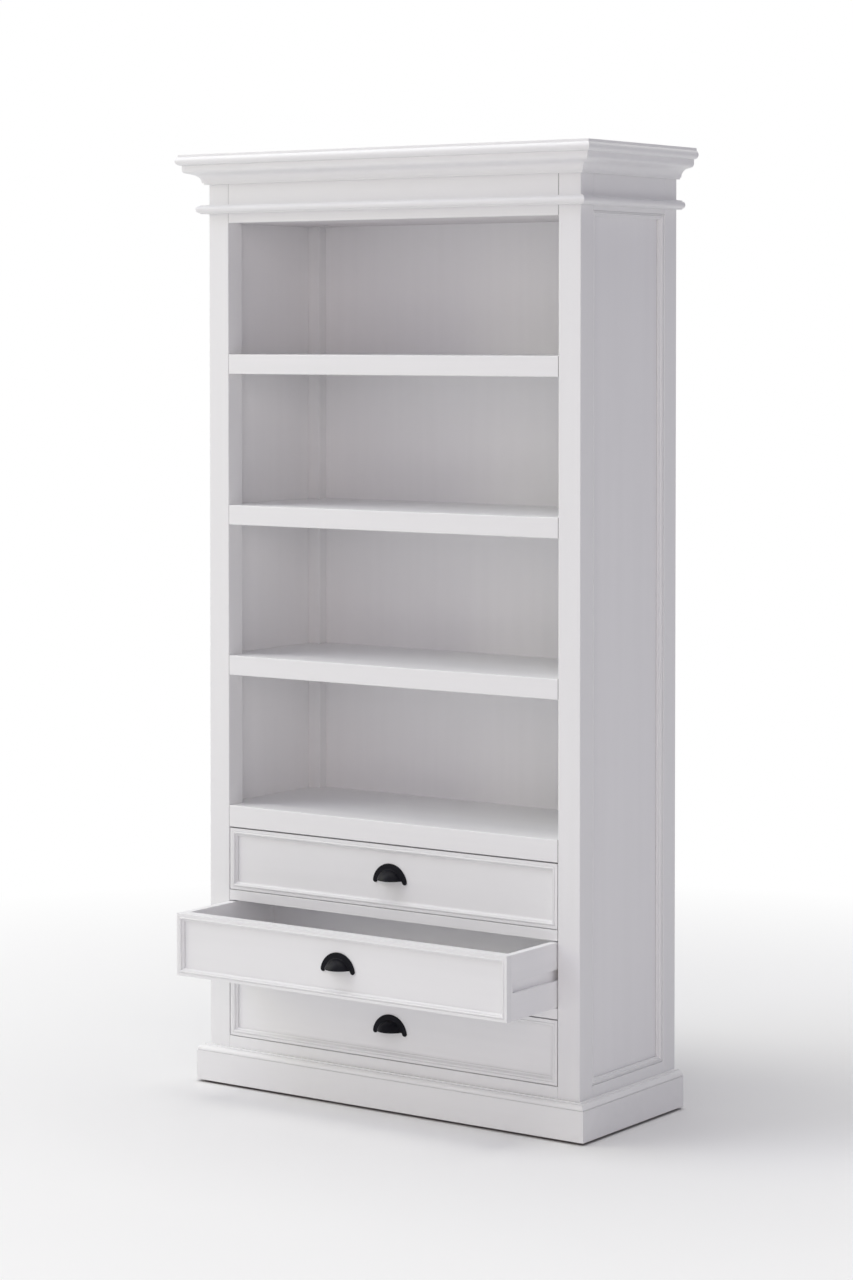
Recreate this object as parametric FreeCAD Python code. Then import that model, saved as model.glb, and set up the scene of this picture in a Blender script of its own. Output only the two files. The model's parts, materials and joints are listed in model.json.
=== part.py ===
import FreeCAD, Part
import math
import os

from FreeCAD import Placement, Rotation, Vector

# White bookcase: a post-and-rail carcass with panelled sides, four open bays over three inset drawers,
# a moulded plinth, a neck moulding and a cornice. Millimetres. X is the width, Y runs from the front
# (negative) to the back, Z is up. The origin lies on the floor under the middle of the carcass.

# ---------------------------------------------------------------- driving dimensions
CARCASS_WIDTH = 900.0
CARCASS_DEPTH = 350.0

# Heights, listed from the floor to the top. The overall height is their sum.
GLIDE_HEIGHT = 5.0
PLINTH_HEIGHT = 73.0
BOTTOM_RAIL_REVEAL = 22.0
DRAWER_OPENING = 129.0
DRAWER_RAIL_HEIGHT = 21.0
DECK_THICKNESS = 44.0
BAY_HEIGHT = 267.0
SHELF_THICKNESS = 40.0
FRIEZE_REVEAL = 19.0
NECK_HEIGHT = 18.0
FRIEZE_HEIGHT = 41.5
CORNICE_HEIGHT = 38.5
TOP_THICKNESS = 22.0

# Frame members.
POST_WIDTH = 50.0
POST_DEPTH = 45.0
FRONT_RAIL_THICKNESS = 25.0
SIDE_RAIL_THICKNESS = 30.0
REAR_RAIL_THICKNESS = 25.0
TENON_LENGTH = 18.0
TENON_SHOULDER = 5.0
ARRIS = 1.0

# Thin panels, each let into grooves of the frame round it.
SIDE_PANEL_RECESS = 12.0
SIDE_PANEL_THICKNESS = 9.0
SIDE_OPENING_DROP = 9.0
BACK_PANEL_RECESS = 12.0
BACK_PANEL_THICKNESS = 8.0
BOTTOM_PANEL_THICKNESS = 9.0
BOTTOM_PANEL_DROP = 6.0
PANEL_TONGUE = 7.0

# Bead moulding planted in the side frames and on the drawer fronts: flat, round bead, quirk, cove.
BEAD_STEP = 0.8
BEAD_QUIRK = 0.8
SIDE_BEAD_FLAT = 3.0
SIDE_BEAD_RADIUS = 2.0
SIDE_BEAD_COVE = 3.0
SIDE_BEAD_SETBACK = 1.0
DRAWER_BEAD_FLAT = 6.0
DRAWER_BEAD_RADIUS = 2.5
DRAWER_BEAD_COVE = 4.0
DRAWER_BEAD_HEIGHT = 8.0

# Plinth board with a quirked ovolo on its top edge.
PLINTH_REACH = 20.0
PLINTH_TOP_FLAT = 9.0
PLINTH_QUIRK = 2.0
PLINTH_OVOLO = 10.0
GLIDE_RADIUS = 12.0

# Neck moulding: a round bead between two fillets.
NECK_REACH = 20.0
NECK_FILLET_REACH = 13.0
NECK_BEAD_RADIUS = 7.0

# Cornice: fascia, rounded corner, raking flat, cove and a small step; the top board's nosing rides over it.
CORNICE_REACH = 39.5
CORNICE_FASCIA = 8.5
CORNICE_ROUND = 7.5
CORNICE_RAKE = 14.0
CORNICE_COVE_REACH = 10.5
CORNICE_STEP_REACH = 7.5
CORNICE_STEP_HEIGHT = 3.5
TOP_REACH = 50.0
TOP_FILLET_REACH = 45.5
TOP_BEAD_RADIUS = 9.0

# Drawers, from the highest to the lowest, and how far each one stands open.
DRAWERS_OPEN = {"upper_drawer": 0.0, "middle_drawer": 172.0, "lower_drawer": 0.0}
DRAWER_GAP_SIDE = 2.0
DRAWER_GAP_TOP = 2.5
DRAWER_GAP_BOTTOM = 1.5
DRAWER_FRONT_THICKNESS = 18.0
DRAWER_FRONT_LAP = 8.0
DRAWER_SIDE_THICKNESS = 15.0
DRAWER_BACK_THICKNESS = 12.0
DRAWER_BACK_CLEARANCE = 20.0
DRAWER_BOTTOM_THICKNESS = 6.0
DRAWER_BOTTOM_RISE = 10.0
DRAWER_BOTTOM_TONGUE = 5.0
RUNNER_HEIGHT = 20.0
RUNNER_GROOVE_START = 22.0
RUNNER_GROOVE_DEPTH = 8.0
RUNNER_SIDE_CLEARANCE = 1.0
RUNNER_PLAY = 1.2
RUNNING_GAP = 0.3
RUNNER_REAR_CLEARANCE = 5.0

# Cup pull: a flange with two lobes round a hollow half dome, on two screws from inside the drawer.
PULL_WIDTH = 82.0
PULL_HEIGHT = 40.0
PULL_RISE = 5.5
PULL_FLANGE_WIDTH = 11.0
PULL_FLANGE_THICKNESS = 3.0
PULL_BEVEL = 1.2
PULL_ROOT_RADIUS = 1.5
PULL_PROJECTION = 24.0
PULL_WALL = 2.5
PULL_LIP_RISE = 1.5
PULL_SCREW_SPACING = 36.0
PULL_SCREW_RISE = 8.0
PULL_BOSS_RADIUS = 4.0
PULL_BOSS_LENGTH = 13.0
SCREW_RADIUS = 2.0
SCREW_CLEARANCE = 0.3
SCREW_FIT = 0.05
SCREW_GRIP = 9.0
SCREW_HEAD_RADIUS = 4.0
SCREW_HEAD_HEIGHT = 2.4

# ---------------------------------------------------------------- planes and levels worked out from them
FRONT = -CARCASS_DEPTH / 2
REAR = CARCASS_DEPTH / 2
RIGHT = CARCASS_WIDTH / 2
POST_INNER = RIGHT - POST_WIDTH
FRONT_POST_REAR = FRONT + POST_DEPTH
REAR_POST_FRONT = REAR - POST_DEPTH
SIDE_RAIL_INNER = RIGHT - SIDE_RAIL_THICKNESS
SIDE_PANEL_OUTER = RIGHT - SIDE_PANEL_RECESS
SIDE_PANEL_INNER = SIDE_PANEL_OUTER - SIDE_PANEL_THICKNESS
BACK_PANEL_REAR = REAR - BACK_PANEL_RECESS
BACK_PANEL_FRONT = BACK_PANEL_REAR - BACK_PANEL_THICKNESS

BASE = GLIDE_HEIGHT
PLINTH_TOP = BASE + PLINTH_HEIGHT
BOTTOM_RAIL_TOP = PLINTH_TOP + BOTTOM_RAIL_REVEAL
DRAWER_PITCH = DRAWER_OPENING + DRAWER_RAIL_HEIGHT
DECK_BOTTOM = BOTTOM_RAIL_TOP + len(DRAWERS_OPEN) * DRAWER_PITCH - DRAWER_RAIL_HEIGHT
DECK_TOP = DECK_BOTTOM + DECK_THICKNESS
SHELF_NAMES = ["lower_shelf", "middle_shelf", "upper_shelf"]
SHELF_PITCH = BAY_HEIGHT + SHELF_THICKNESS
CEILING = DECK_TOP + (len(SHELF_NAMES) + 1) * SHELF_PITCH - SHELF_THICKNESS
SIDE_OPENING_TOP = CEILING + SIDE_OPENING_DROP
NECK_BOTTOM = CEILING + FRIEZE_REVEAL
CORNICE_BOTTOM = NECK_BOTTOM + NECK_HEIGHT + FRIEZE_HEIGHT
CARCASS_TOP = CORNICE_BOTTOM + CORNICE_HEIGHT
OVERALL_HEIGHT = CARCASS_TOP + TOP_THICKNESS

# How far a cutting shape runs past what it cuts.
PAST = 2 * TOP_REACH


# ---------------------------------------------------------------- building blocks
def block(x_span, y_span, z_span):
    """Box between two values on each axis."""
    size = [span[1] - span[0] for span in (x_span, y_span, z_span)]
    return Part.makeBox(*size, Vector(x_span[0], y_span[0], z_span[0]))


def mirrored(shape):
    """The same piece on the left side."""
    return shape.mirror(Vector(0, 0, 0), Vector(1, 0, 0))


def face_of(points):
    """Face bounded by straight runs and arcs. A pair of points is an arc through the first to the second."""
    edges = []
    here = Vector(*points[0])
    for step in points[1:] + [points[0]]:
        if isinstance(step[0], tuple):
            through, end = Vector(*step[0]), Vector(*step[1])
            edges.append(Part.Arc(here, through, end).toShape())
        else:
            end = Vector(*step)
            edges.append(Part.makeLine(here, end))
        here = end
    return Part.Face(Part.Wire(edges))


def profile(points):
    """Moulding section: reach outwards along X, height along Z."""
    def lift(step):
        return tuple(lift(p) for p in step) if isinstance(step[0], tuple) else (step[0], 0.0, step[1])
    return face_of([lift(step) for step in points])


def plan_prism(points, z_span):
    """Upright prism over a plan outline."""
    face = face_of([(x, y, z_span[0]) for x, y in points])
    return face.extrude(Vector(0, 0, z_span[1] - z_span[0]))


def largest(shape):
    """The main solid of a cut shape."""
    return max(shape.Solids, key=lambda solid: solid.Volume)


def mitred_lengths(section):
    """Front and right lengths of a moulding round the carcass, mitred at the front corner."""
    heights = (-PAST, OVERALL_HEIGHT + PAST)
    tip = (RIGHT + PAST, FRONT - PAST)
    front_keep = plan_prism([(0, FRONT + RIGHT), tip, (-tip[0], tip[1])], heights)
    right_keep = plan_prism([(RIGHT - PAST, FRONT + PAST), tip, (RIGHT + PAST, REAR + PAST),
                             (RIGHT - PAST, REAR + PAST)], heights)
    front = section.copy()
    front.rotate(Vector(0, 0, 0), Vector(0, 0, 1), -90)
    front.translate(Vector(-RIGHT - PAST, FRONT, 0))
    front = front.extrude(Vector(2 * (RIGHT + PAST), 0, 0)).common(front_keep)
    right = section.copy()
    right.translate(Vector(RIGHT, FRONT - PAST, 0))
    right = right.extrude(Vector(0, CARCASS_DEPTH + PAST, 0)).common(right_keep)
    return largest(front), largest(right)


def tenoned_rail(x_span, y_span, z_span, along):
    """Rail between two posts with a shouldered tenon on each end."""
    spans = [x_span, y_span, z_span]
    tongue = [(low + TENON_SHOULDER, high - TENON_SHOULDER) for low, high in spans]
    tongue[along] = (spans[along][0] - TENON_LENGTH, spans[along][1] + TENON_LENGTH)
    return block(*spans).fuse(block(*tongue)).removeSplitter()


def bead_profile(flat, radius, cove, height):
    """Section of the bead moulding: inset from its outer edge along X, height above its seat along Z."""
    shoulder = height - radius
    crest = flat + radius
    bend = crest + radius
    cove_start = bend + BEAD_QUIRK
    cove_top = shoulder + BEAD_QUIRK
    reach = cove_start + cove
    dip = cove * math.sqrt(0.5)
    return profile([
        (0, 0),
        (0, height - BEAD_STEP),
        (flat, height - BEAD_STEP),
        (flat, shoulder),
        ((crest, height), (bend, shoulder)),
        (cove_start, shoulder),
        (cove_start, cove_top),
        ((reach - dip, cove_top - dip), (reach, cove_top - cove)),
        (reach, 0),
    ])


def bead_frame(section, width, height):
    """Four mitred strips round a rectangle: X along its width, Y along its height, Z out of it."""
    inset = section.BoundBox.XMax
    tall = section.BoundBox.ZMax
    strips = []
    for turn in range(4):
        length = width if turn % 2 == 0 else height
        strip = section.copy()
        strip.rotate(Vector(0, 0, 0), Vector(0, 0, 1), 90)
        strip = strip.extrude(Vector(length, 0, 0))
        mitres = plan_prism([(-inset, -inset), (length + inset, -inset), (length - 2 * inset, 2 * inset),
                             (2 * inset, 2 * inset)], (-tall, 2 * tall))
        strip = largest(strip.common(mitres))
        corner = [(0, 0), (width, 0), (width, height), (0, height)][turn]
        strip.rotate(Vector(0, 0, 0), Vector(0, 0, 1), 90 * turn)
        strip.translate(Vector(*corner, 0))
        strips.append(strip)
    return Part.makeCompound(strips)


def save(name, shape):
    """One file for each named piece."""
    shape.exportStep(os.path.join("parts", name + ".step"))


def save_pair(name, shape):
    """A right-hand piece and its mirror image."""
    save(name + "_right", shape)
    save(name + "_left", mirrored(shape))


# ---------------------------------------------------------------- carcass frame
def post(y_span):
    """Right-hand post with eased long corners, before its mortises and grooves."""
    x0, x1 = POST_INNER, RIGHT
    y0, y1 = y_span
    outline = []
    for x, y, sx, sy in ((x0, y0, 1, 1), (x1, y0, -1, 1), (x1, y1, -1, -1), (x0, y1, 1, -1)):
        ends = [(x, y + sy * ARRIS), (x + sx * ARRIS, y)]
        outline += ends if sx == sy else ends[::-1]
    return plan_prism(outline, (BASE, CARCASS_TOP))


def side_frame_rails():
    """Top and bottom rails of the right-hand side, between the posts."""
    x_span = (SIDE_RAIL_INNER, RIGHT)
    y_span = (FRONT_POST_REAR, REAR_POST_FRONT)
    top = tenoned_rail(x_span, y_span, (SIDE_OPENING_TOP, CARCASS_TOP), 1)
    bottom = tenoned_rail(x_span, y_span, (BASE, BOTTOM_RAIL_TOP), 1)
    return top, bottom


def side_panel():
    """Thin right-hand panel with its edges in the frame's grooves."""
    return block((SIDE_PANEL_INNER, SIDE_PANEL_OUTER),
                 (FRONT_POST_REAR - PANEL_TONGUE, REAR_POST_FRONT + PANEL_TONGUE),
                 (BOTTOM_RAIL_TOP - PANEL_TONGUE, SIDE_OPENING_TOP + PANEL_TONGUE))


def side_moulding():
    """Bead moulding round the right-hand panel, seated on its outer face."""
    section = bead_profile(SIDE_BEAD_FLAT, SIDE_BEAD_RADIUS, SIDE_BEAD_COVE,
                           SIDE_PANEL_RECESS - SIDE_BEAD_SETBACK)
    frame = bead_frame(section, REAR_POST_FRONT - FRONT_POST_REAR, SIDE_OPENING_TOP - BOTTOM_RAIL_TOP)
    frame.Placement = Placement(Vector(SIDE_PANEL_OUTER, FRONT_POST_REAR, BOTTOM_RAIL_TOP),
                                Rotation(Vector(0, 1, 0), Vector(0, 0, 1), Vector(1, 0, 0), "XYZ"))
    return frame


def front_rail(z_span, thickness):
    """Rail between the front posts, flush with their faces."""
    return tenoned_rail((-POST_INNER, POST_INNER), (FRONT, FRONT + thickness), z_span, 0)


def rear_rail(z_span):
    """Rail between the rear posts, flush with the back."""
    return tenoned_rail((-POST_INNER, POST_INNER), (REAR - REAR_RAIL_THICKNESS, REAR), z_span, 0)


def drawer_floor(index):
    """Height of the bottom of a drawer's opening; the highest drawer has index 0."""
    return BOTTOM_RAIL_TOP + (len(DRAWERS_OPEN) - 1 - index) * DRAWER_PITCH


def back_panel():
    """Back panel with its edges in grooves of the rear frame."""
    reach = POST_INNER + PANEL_TONGUE
    return block((-reach, reach), (BACK_PANEL_FRONT, BACK_PANEL_REAR),
                 (BOTTOM_RAIL_TOP - PANEL_TONGUE, SIDE_OPENING_TOP + PANEL_TONGUE))


def bottom_panel():
    """Board under the lowest drawer, in grooves of the four bottom rails and notched round the posts."""
    top = BOTTOM_RAIL_TOP - PANEL_TONGUE - BOTTOM_PANEL_DROP
    reach = SIDE_RAIL_INNER + PANEL_TONGUE
    z_span = (top - BOTTOM_PANEL_THICKNESS, top)
    y_span = (FRONT + FRONT_RAIL_THICKNESS - PANEL_TONGUE, REAR - REAR_RAIL_THICKNESS + PANEL_TONGUE)
    return notched(block((-reach, reach), y_span, z_span))


def notched(board):
    """A board cut round the four posts."""
    for y_span in ((FRONT, FRONT_POST_REAR), (REAR_POST_FRONT, REAR)):
        corner = block((POST_INNER, RIGHT), y_span, (BASE, CARCASS_TOP))
        board = board.cut(corner).cut(mirrored(corner))
    return largest(board)


def fixed_board(z_span, front=FRONT):
    """Shelf, deck or ceiling: notched round the posts, from side panel to side panel."""
    return notched(block((-SIDE_PANEL_INNER, SIDE_PANEL_INNER), (front, BACK_PANEL_FRONT), z_span))


def eased_front(board):
    """Take the arris off the front edges of a board that shows between the posts."""
    def at_front(edge):
        box = edge.BoundBox
        return box.YMax < FRONT + ARRIS / 2 and box.XLength > POST_INNER
    return board.makeChamfer(ARRIS, [edge for edge in board.Edges if at_front(edge)])


def build_carcass():
    """Posts, rails, panels and boards. Tenons and tongues are cut out of what receives them."""
    front_post = post((FRONT, FRONT_POST_REAR))
    rear_post = post((REAR_POST_FRONT, REAR))
    side_top, side_bottom = side_frame_rails()
    frieze = front_rail((CEILING, CARCASS_TOP), FRONT_RAIL_THICKNESS)
    bottom = front_rail((BASE, BOTTOM_RAIL_TOP), FRONT_RAIL_THICKNESS)
    rear_top = rear_rail((SIDE_OPENING_TOP, CARCASS_TOP))
    rear_bottom = rear_rail((BASE, BOTTOM_RAIL_TOP))
    panel = side_panel()
    back = back_panel()
    floor = bottom_panel()

    drawer_rails = []
    for index in range(len(DRAWERS_OPEN) - 1):
        low = drawer_floor(index) - DRAWER_RAIL_HEIGHT
        drawer_rails.append(front_rail((low, low + DRAWER_RAIL_HEIGHT), POST_DEPTH))

    for tenoned in [side_top, side_bottom, frieze, bottom, panel] + drawer_rails:
        front_post = front_post.cut(tenoned)
    for tenoned in [side_top, side_bottom, rear_top, rear_bottom, panel, back]:
        rear_post = rear_post.cut(tenoned)

    save_pair("front_post", largest(front_post))
    save_pair("rear_post", largest(rear_post))
    save_pair("side_top_rail", largest(side_top.cut(panel)))
    save_pair("side_bottom_rail", largest(side_bottom.cut(panel).cut(floor)))
    save_pair("side_panel", panel)
    save_pair("side_moulding", side_moulding())
    save("frieze_rail", frieze)
    save("bottom_rail", largest(bottom.cut(floor)))
    save("rear_top_rail", largest(rear_top.cut(back)))
    save("rear_bottom_rail", largest(rear_bottom.cut(back).cut(floor)))
    save("back_panel", back)
    save("bottom_panel", floor)
    save("ceiling_panel", fixed_board((CEILING, SIDE_OPENING_TOP), FRONT + FRONT_RAIL_THICKNESS))
    for name, rail in zip(("upper_drawer_rail", "lower_drawer_rail"), drawer_rails):
        save(name, rail)

    save("drawer_deck", eased_front(fixed_board((DECK_BOTTOM, DECK_TOP))))
    for index, name in enumerate(SHELF_NAMES):
        low = DECK_TOP + BAY_HEIGHT + index * SHELF_PITCH
        save(name, eased_front(fixed_board((low, low + SHELF_THICKNESS))))


# ---------------------------------------------------------------- mouldings round the carcass
def plinth_section():
    face_top = PLINTH_TOP - PLINTH_QUIRK - PLINTH_OVOLO
    arc_out = PLINTH_TOP_FLAT + PLINTH_OVOLO
    bow = PLINTH_OVOLO * math.sqrt(0.5)
    return profile([
        (0, BASE),
        (PLINTH_REACH, BASE),
        (PLINTH_REACH, face_top),
        (arc_out, face_top),
        ((PLINTH_TOP_FLAT + bow, face_top + bow), (PLINTH_TOP_FLAT, face_top + PLINTH_OVOLO)),
        (PLINTH_TOP_FLAT, PLINTH_TOP),
        (0, PLINTH_TOP),
    ])


def neck_section():
    middle = NECK_BOTTOM + NECK_HEIGHT / 2
    centre = NECK_REACH - NECK_BEAD_RADIUS
    rise = math.sqrt(NECK_BEAD_RADIUS ** 2 - (NECK_FILLET_REACH - centre) ** 2)
    return profile([
        (0, NECK_BOTTOM),
        (NECK_FILLET_REACH, NECK_BOTTOM),
        (NECK_FILLET_REACH, middle - rise),
        ((NECK_REACH, middle), (NECK_FILLET_REACH, middle + rise)),
        (NECK_FILLET_REACH, NECK_BOTTOM + NECK_HEIGHT),
        (0, NECK_BOTTOM + NECK_HEIGHT),
    ])


def on_circle(centre, radius, degrees):
    """Point of a moulding's arc."""
    angle = math.radians(degrees)
    return (centre[0] + radius * math.cos(angle), centre[1] + radius * math.sin(angle))


def cornice_section():
    """Fascia, rounded corner, raking flat, the cove that is tangent to it and upright on the step, and step."""
    rake = math.radians(CORNICE_RAKE)
    round_centre = (CORNICE_REACH - CORNICE_ROUND, CARCASS_TOP - CORNICE_FASCIA)
    round_end = on_circle(round_centre, CORNICE_ROUND, CORNICE_RAKE - 90)
    step_top = CORNICE_BOTTOM + CORNICE_STEP_HEIGHT
    rise = round_end[1] - step_top - (round_end[0] - CORNICE_COVE_REACH) * math.tan(rake)
    cove = rise * math.cos(rake) / (1 - math.sin(rake))
    cove_centre = (CORNICE_COVE_REACH + cove, step_top)
    return profile([
        (0, CORNICE_BOTTOM),
        (CORNICE_STEP_REACH, CORNICE_BOTTOM),
        (CORNICE_STEP_REACH, step_top),
        (CORNICE_COVE_REACH, step_top),
        (on_circle(cove_centre, cove, 135 + CORNICE_RAKE / 2), on_circle(cove_centre, cove, 90 + CORNICE_RAKE)),
        round_end,
        (on_circle(round_centre, CORNICE_ROUND, (CORNICE_RAKE - 90) / 2), (CORNICE_REACH, round_centre[1])),
        (CORNICE_REACH, CARCASS_TOP),
        (0, CARCASS_TOP),
    ])


def nosing_section():
    centre_x = TOP_REACH - TOP_BEAD_RADIUS
    centre_z = CARCASS_TOP + TOP_BEAD_RADIUS
    rise = math.sqrt(TOP_BEAD_RADIUS ** 2 - (TOP_FILLET_REACH - centre_x) ** 2)
    return profile([
        (0, CARCASS_TOP),
        (centre_x, CARCASS_TOP),
        ((TOP_REACH, centre_z), (TOP_FILLET_REACH, centre_z + rise)),
        (TOP_FILLET_REACH, OVERALL_HEIGHT),
        (0, OVERALL_HEIGHT),
    ])


def build_mouldings():
    """Plinth and cornice lengths, the neck moulding, the nosed top board and the glides."""
    for name, section in (("plinth", plinth_section()), ("cornice", cornice_section())):
        front, right = mitred_lengths(section)
        save(name + "_front", front)
        save_pair(name, right)

    front, right = mitred_lengths(neck_section())
    save("neck_moulding", Part.makeCompound([front, right, mirrored(right)]))

    front, right = mitred_lengths(nosing_section())
    board = block((-RIGHT, RIGHT), (FRONT, REAR), (CARCASS_TOP, OVERALL_HEIGHT))
    save("top_board", largest(board.multiFuse([front, right, mirrored(right)]).removeSplitter()))

    glides = []
    for x in (RIGHT - POST_WIDTH / 2, POST_WIDTH / 2 - RIGHT):
        for y in (FRONT + POST_DEPTH / 2, REAR - POST_DEPTH / 2):
            glides.append(Part.makeCylinder(GLIDE_RADIUS, GLIDE_HEIGHT, Vector(x, y, 0)))
    save("glides", Part.makeCompound(glides))


# ---------------------------------------------------------------- drawers, drawn closed and then pulled out
DRAWER_FRONT_BACK = FRONT + DRAWER_BEAD_HEIGHT + DRAWER_FRONT_THICKNESS
DRAWER_FIELD = FRONT + DRAWER_BEAD_HEIGHT
DRAWER_SIDE_START = DRAWER_FIELD + DRAWER_FRONT_LAP
DRAWER_REAR = BACK_PANEL_FRONT - DRAWER_BACK_CLEARANCE
DRAWER_HALF_WIDTH = POST_INNER - DRAWER_GAP_SIDE
DRAWER_INNER = DRAWER_HALF_WIDTH - DRAWER_SIDE_THICKNESS
DRAWER_HEIGHT = DRAWER_OPENING - DRAWER_GAP_TOP - DRAWER_GAP_BOTTOM
GROOVE_HEIGHT = RUNNER_HEIGHT + RUNNING_GAP + RUNNER_PLAY


def drawer_bottom_z(index):
    """Underside of a drawer."""
    return drawer_floor(index) + DRAWER_GAP_BOTTOM


def groove_top(index):
    """Top of the runner groove, which is centred on the drawer's side."""
    return drawer_bottom_z(index) + (DRAWER_HEIGHT + GROOVE_HEIGHT) / 2


def runner(index):
    """Right-hand hardwood runner, fixed to the posts' inner faces; its front end stops the closing drawer."""
    top = groove_top(index) - RUNNING_GAP
    reach = DRAWER_GAP_SIDE + RUNNER_GROOVE_DEPTH - RUNNER_SIDE_CLEARANCE
    return block((POST_INNER - reach, POST_INNER),
                 (FRONT + RUNNER_GROOVE_START + RUNNING_GAP, BACK_PANEL_FRONT - RUNNER_REAR_CLEARANCE),
                 (top - RUNNER_HEIGHT, top))


def drawer_bottom(index):
    """Plywood bottom with its edges in the front's and the sides' grooves, under the back."""
    low = drawer_bottom_z(index) + DRAWER_BOTTOM_RISE
    reach = DRAWER_INNER + DRAWER_BOTTOM_TONGUE
    return block((-reach, reach), (DRAWER_FRONT_BACK - DRAWER_BOTTOM_TONGUE, DRAWER_REAR),
                 (low, low + DRAWER_BOTTOM_THICKNESS))


def drawer_side(index):
    """Right-hand side, lapped into the front's rebate, with the stopped groove for the runner."""
    low = drawer_bottom_z(index)
    side = block((DRAWER_INNER, DRAWER_HALF_WIDTH), (DRAWER_SIDE_START, DRAWER_REAR),
                 (low, low + DRAWER_HEIGHT))
    top = groove_top(index)
    groove = block((DRAWER_HALF_WIDTH - RUNNER_GROOVE_DEPTH, DRAWER_HALF_WIDTH),
                   (FRONT + RUNNER_GROOVE_START, DRAWER_REAR), (top - GROOVE_HEIGHT, top))
    return largest(side.cut(groove).cut(drawer_bottom(index)))


def drawer_back(index):
    """Back between the sides, standing on the bottom."""
    low = drawer_bottom_z(index)
    return block((-DRAWER_INNER, DRAWER_INNER), (DRAWER_REAR - DRAWER_BACK_THICKNESS, DRAWER_REAR),
                 (low + DRAWER_BOTTOM_RISE + DRAWER_BOTTOM_THICKNESS, low + DRAWER_HEIGHT))


def screw_centres(index):
    """Centres of the two pull screws, in X and Z."""
    z = pull_base_z(index) + PULL_SCREW_RISE
    return [(-PULL_SCREW_SPACING / 2, z), (PULL_SCREW_SPACING / 2, z)]


def drawer_front(index):
    """Front board, rebated at the back for the sides, grooved for the bottom and drilled for the pull."""
    low = drawer_bottom_z(index)
    z_span = (low, low + DRAWER_HEIGHT)
    board = block((-DRAWER_HALF_WIDTH, DRAWER_HALF_WIDTH), (DRAWER_FIELD, DRAWER_SIDE_START), z_span)
    core = block((-DRAWER_INNER, DRAWER_INNER), (DRAWER_SIDE_START, DRAWER_FRONT_BACK), z_span)
    board = board.fuse(core).removeSplitter().cut(drawer_bottom(index))
    for x, z in screw_centres(index):
        board = board.cut(y_cylinder(SCREW_RADIUS + SCREW_CLEARANCE, x, z, DRAWER_FIELD, DRAWER_FRONT_BACK))
    return largest(board)


def drawer_moulding(index):
    """Bead moulding round the front, its crest flush with the carcass when the drawer is closed."""
    section = bead_profile(DRAWER_BEAD_FLAT, DRAWER_BEAD_RADIUS, DRAWER_BEAD_COVE, DRAWER_BEAD_HEIGHT)
    frame = bead_frame(section, 2 * DRAWER_HALF_WIDTH, DRAWER_HEIGHT)
    frame.Placement = Placement(Vector(-DRAWER_HALF_WIDTH, DRAWER_FIELD, drawer_bottom_z(index)),
                                Rotation(Vector(1, 0, 0), Vector(0, 0, 1), Vector(0, -1, 0), "XYZ"))
    return frame


# ---------------------------------------------------------------- cup pulls
def y_cylinder(radius, x, z, y0, y1):
    """Round bar or hole along Y."""
    return Part.makeCylinder(radius, y1 - y0, Vector(x, y0, z), Vector(0, 1, 0))


# The flange is a circular arch that runs into a half-round lobe at each end, tangent on both sides. Heights
# of the pull are taken from the line through the centres of the lobes; the arch's axis lies below it.
LOBE_RADIUS = PULL_FLANGE_WIDTH / 2
LOBE_CENTRE = PULL_WIDTH / 2 - LOBE_RADIUS
ARCH_CREST = PULL_HEIGHT - 2 * LOBE_RADIUS
ARCH_DROP = (LOBE_CENTRE ** 2 - ARCH_CREST ** 2) / (2 * ARCH_CREST)
ARCH_RADIUS = ARCH_CREST + ARCH_DROP + LOBE_RADIUS
ARCH_START = math.degrees(math.atan2(ARCH_DROP, LOBE_CENTRE))

# The cup is part of a sphere, centred a little behind the flange, that meets it along the arch.
CUP_RIM = ARCH_RADIUS - PULL_FLANGE_WIDTH
CUP_LIP = ARCH_DROP + PULL_LIP_RISE
CUP_SETBACK = (CUP_RIM ** 2 - CUP_LIP ** 2 - PULL_PROJECTION ** 2) / (2 * PULL_PROJECTION)
CUP_RADIUS = math.hypot(CUP_RIM, CUP_SETBACK)
CUP_ROOT = math.sqrt((CUP_RADIUS + PULL_ROOT_RADIUS) ** 2
                     - (CUP_SETBACK + PULL_FLANGE_THICKNESS + PULL_ROOT_RADIUS) ** 2)


def pull_base_z(index):
    """Height of the line through the centres of a pull's two lobes."""
    middle = drawer_bottom_z(index) + DRAWER_HEIGHT / 2 + PULL_RISE
    return middle - PULL_HEIGHT / 2 + LOBE_RADIUS


def bevelled_rim(radius):
    """Corners of a flange section from its outer edge at the back to its bevelled front."""
    front = -PULL_FLANGE_THICKNESS
    return [(radius, 0, 0), (radius, front + PULL_BEVEL, 0), (radius - PULL_BEVEL, front, 0)]


def cup_section():
    """Half section of flange, root fillet and solid cup, from the axis outwards along X."""
    front = -PULL_FLANGE_THICKNESS
    root = (CUP_ROOT, front - PULL_ROOT_RADIUS)
    steepness = math.atan2(root[1] - CUP_SETBACK, root[0])
    tangent = on_circle((0, CUP_SETBACK), CUP_RADIUS, math.degrees(steepness))
    fillet_middle = on_circle(root, PULL_ROOT_RADIUS, (90 + 180 + math.degrees(steepness)) / 2)
    cup_middle = on_circle((0, CUP_SETBACK), CUP_RADIUS, (math.degrees(steepness) - 90) / 2)
    crown = (0, CUP_SETBACK - CUP_RADIUS, 0)
    return face_of([(0, 0, 0)] + bevelled_rim(ARCH_RADIUS) + [
        (CUP_ROOT, front, 0),
        ((*fillet_middle, 0), (*tangent, 0)),
        ((*cup_middle, 0), crown),
    ])


def turned(section, start, sweep):
    """Revolve a section about Y, from and through angles that count from the right upwards."""
    section.rotate(Vector(0, 0, 0), Vector(0, -1, 0), start)
    return section.revolve(Vector(0, 0, 0), Vector(0, -1, 0), sweep)


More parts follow.
